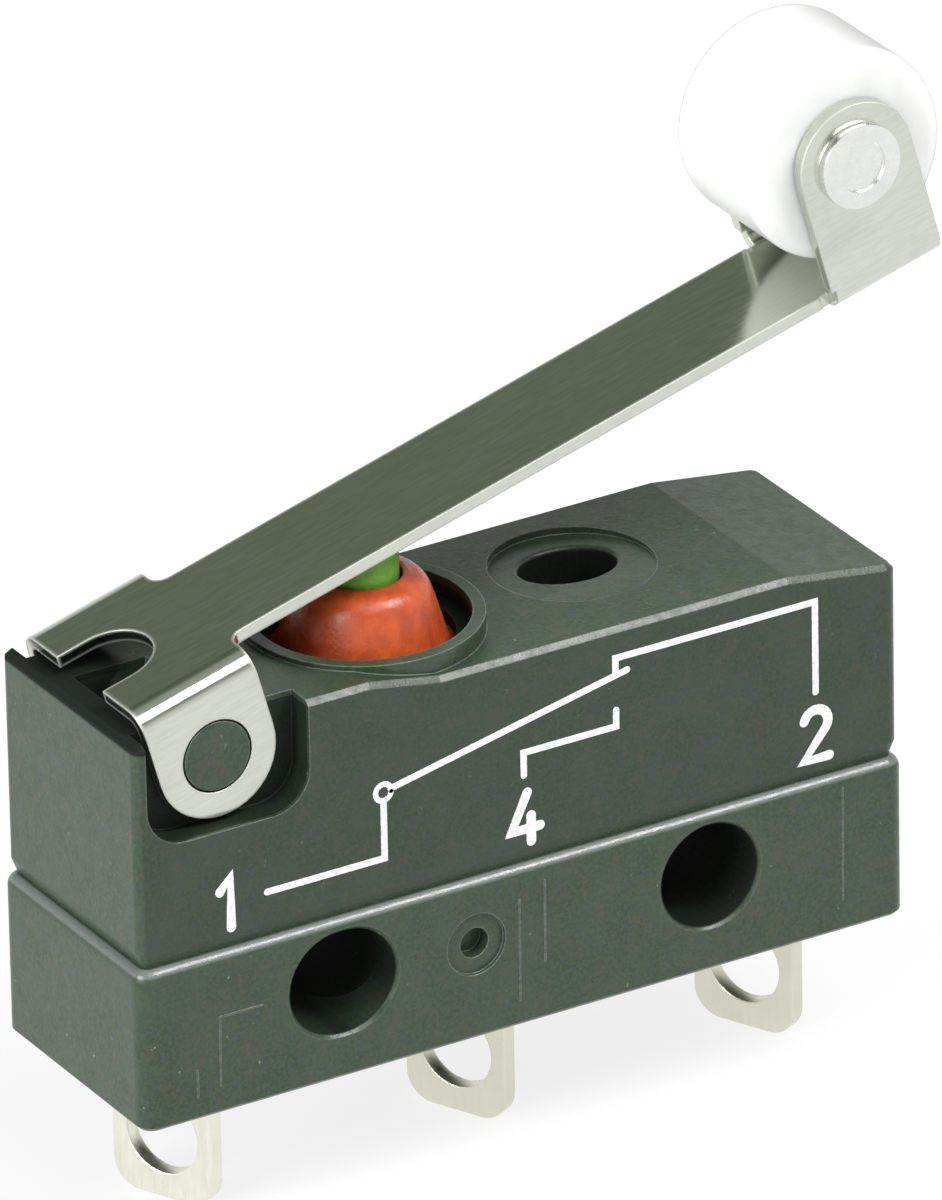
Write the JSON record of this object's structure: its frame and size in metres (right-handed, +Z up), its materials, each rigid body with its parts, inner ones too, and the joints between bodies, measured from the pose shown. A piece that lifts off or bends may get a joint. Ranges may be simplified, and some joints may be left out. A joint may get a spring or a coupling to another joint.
{
  "type": "lever micro switch",
  "caption": "Sealed snap-action micro switch: hinged steel lever with roller, rubber-booted plunger, solder lugs and side mounting holes.",
  "frame": {"origin": "axis of the round mounting hole, at the middle of the housing's thickness", "axes": "+X along the housing from the lever's pivot to the roller end, +Y through the thickness to the back, +Z up from the lugs to the plunger"},
  "size_m": [0.0218, 0.0062, 0.0242],
  "materials": {
    "housing_plastic": "matte, dark green-grey",
    "roller_plastic": "smooth, white",
    "plunger_plastic": "smooth, green",
    "boot_rubber": "satin, orange-red",
    "lever_steel": "bright rolled strip",
    "rivet_steel": "bright",
    "lug_metal": "tinned, pale silver",
    "contact_metal": "silver contact",
    "arm_metal": "copper alloy strip",
    "spring_steel": "wire",
    "seal_compound": "dark resin"
  },
  "bodies": {
    "housing": {"base": "housing_plastic", "cover": "housing_plastic", "joint_seal": "seal_compound", "common_terminal": "lug_metal", "normally_open_terminal": "lug_metal", "normally_closed_terminal": "lug_metal", "common_potting": "seal_compound", "open_potting": "seal_compound", "closed_potting": "seal_compound", "open_strip": "arm_metal", "closed_strip": "arm_metal", "open_contact": "contact_metal", "closed_contact": "contact_metal", "boot_ring": "housing_plastic", "seal_boot": "boot_rubber"},
    "lever": {"lever": "lever_steel", "roller_axle": "rivet_steel"},
    "roller": {"roller": "roller_plastic"},
    "plunger": {"plunger": "plunger_plastic"},
    "drive_arm": {"drive_arm": "arm_metal"},
    "contact_arm": {"contact_arm": "arm_metal", "moving_contact": "contact_metal", "snap_spring": "spring_steel"}
  },
  "joints": [
    {"name": "lever_hinge", "type": "hinge", "parent": "housing", "child": "lever", "pos_m": [-0.01228, 0, 0.00615], "axis": [0, 1, 0], "range_deg": [0, 9.5], "stiffness_Nm_per_rad": 0.02, "springref_deg": -17.19},
    {"name": "roller_spin", "type": "hinge", "parent": "lever", "child": "roller", "pos_m": [0.00465, 0, 0.01592], "axis": [0, 1, 0], "continuous": true},
    {"name": "plunger_slide", "type": "slide", "parent": "housing", "child": "plunger", "axis": [0, 0, -1], "range_m": [0, 0.00093], "deforming": ["seal_boot"]},
    {"name": "drive_arm_hinge", "type": "hinge", "parent": "housing", "child": "drive_arm", "pos_m": [-0.01235, 0, 0.00471], "axis": [0, 1, 0], "range_deg": [0, 10.1], "deforming": ["snap_spring"]},
    {"name": "contact_arm_hinge", "type": "hinge", "parent": "housing", "child": "contact_arm", "pos_m": [-0.01235, 0, 0.00348], "axis": [0, 1, 0], "range_deg": [0, 1.9]}
  ],
  "couplings": [
    {"joint": "plunger_slide", "follows": "lever_hinge", "m_per_rad": 0.00555},
    {"joint": "drive_arm_hinge", "follows": "lever_hinge", "ratio": 1.0526},
    {"joint": "contact_arm_hinge", "follows": "lever_hinge", "ratio": 0.1947}
  ]
}
